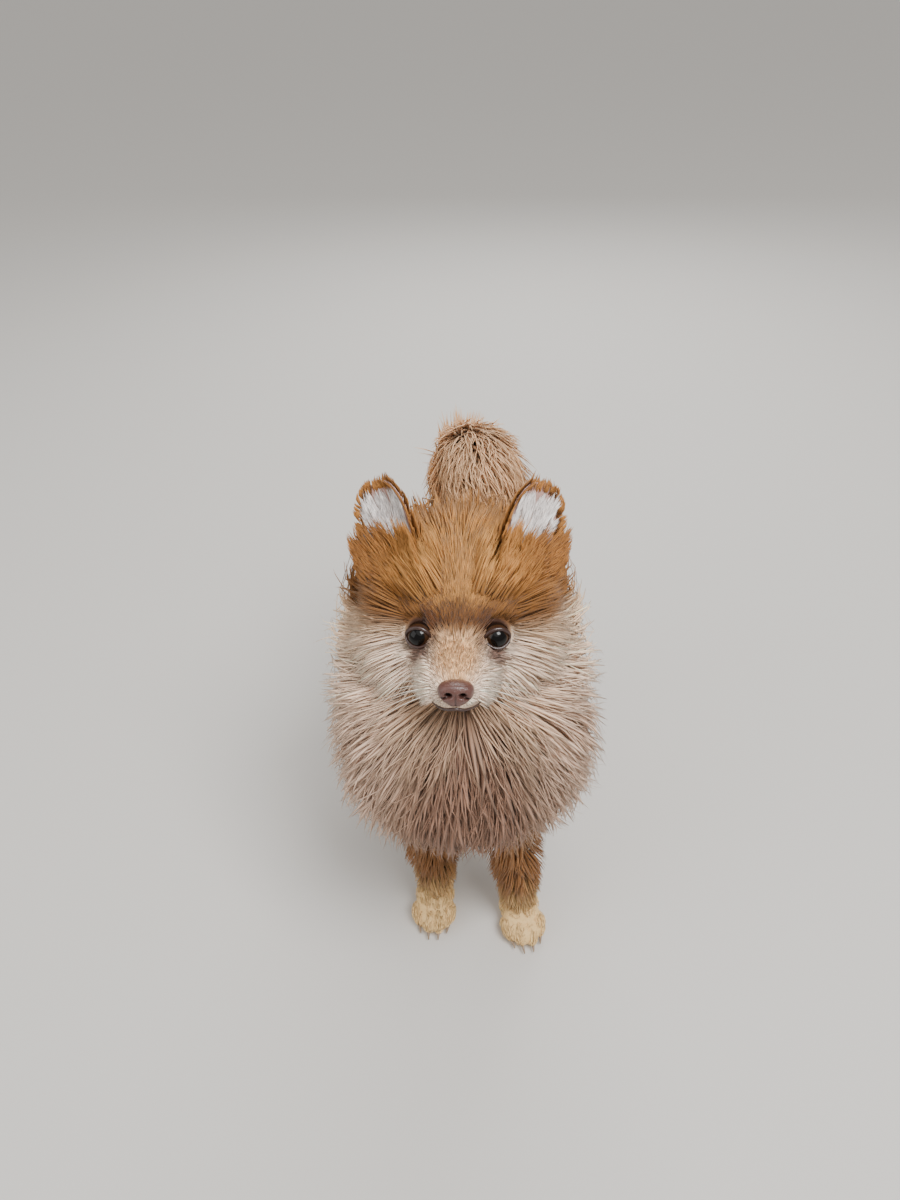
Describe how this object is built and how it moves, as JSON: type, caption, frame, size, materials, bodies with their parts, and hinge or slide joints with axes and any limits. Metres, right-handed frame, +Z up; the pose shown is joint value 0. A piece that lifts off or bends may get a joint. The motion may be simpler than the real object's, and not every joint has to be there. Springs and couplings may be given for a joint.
{
  "type": "toy spitz dog figure",
  "caption": "Life-size still model of a standing Pomeranian with raised head, full ruff, pricked ears and a plumed tail carried over the back",
  "frame": {"origin": "on the floor, below the middle of the length and the width", "axes": "+Z up, the dog faces -Y, its left side is at +X"},
  "size_m": [0.1446, 0.269, 0.2985],
  "materials": {
    "head_coat": "short golden orange fur, darker over the eyes, cream cheeks",
    "jaw_coat": "short cream fur",
    "nose": "moist brown nose leather",
    "eyes": "near-black, wet gloss",
    "ears": "orange fur behind, pale grey cream inside",
    "ruff": "long cream and grey-brown coat",
    "body_coat": "long orange coat with cream undercoat",
    "tail_coat": "long tan and cream plume",
    "leg_coat": "short tan fur",
    "paws": "short cream fur with horn claws"
  },
  "bodies": {
    "root": {"head": "head_coat", "jaw": "jaw_coat", "nose": "nose", "eye_left": "eyes", "eye_right": "eyes", "ear_left": "ears", "ear_right": "ears", "neck": "ruff", "torso": "body_coat", "tail_base": "tail_coat", "tail_plume": "tail_coat", "foreleg_left": "leg_coat", "foreleg_right": "leg_coat", "forepaw_left": "paws", "forepaw_right": "paws", "thigh_left": "body_coat", "thigh_right": "body_coat", "hindleg_left": "leg_coat", "hindleg_right": "leg_coat", "hindpaw_left": "paws", "hindpaw_right": "paws"}
  },
  "joints": []
}
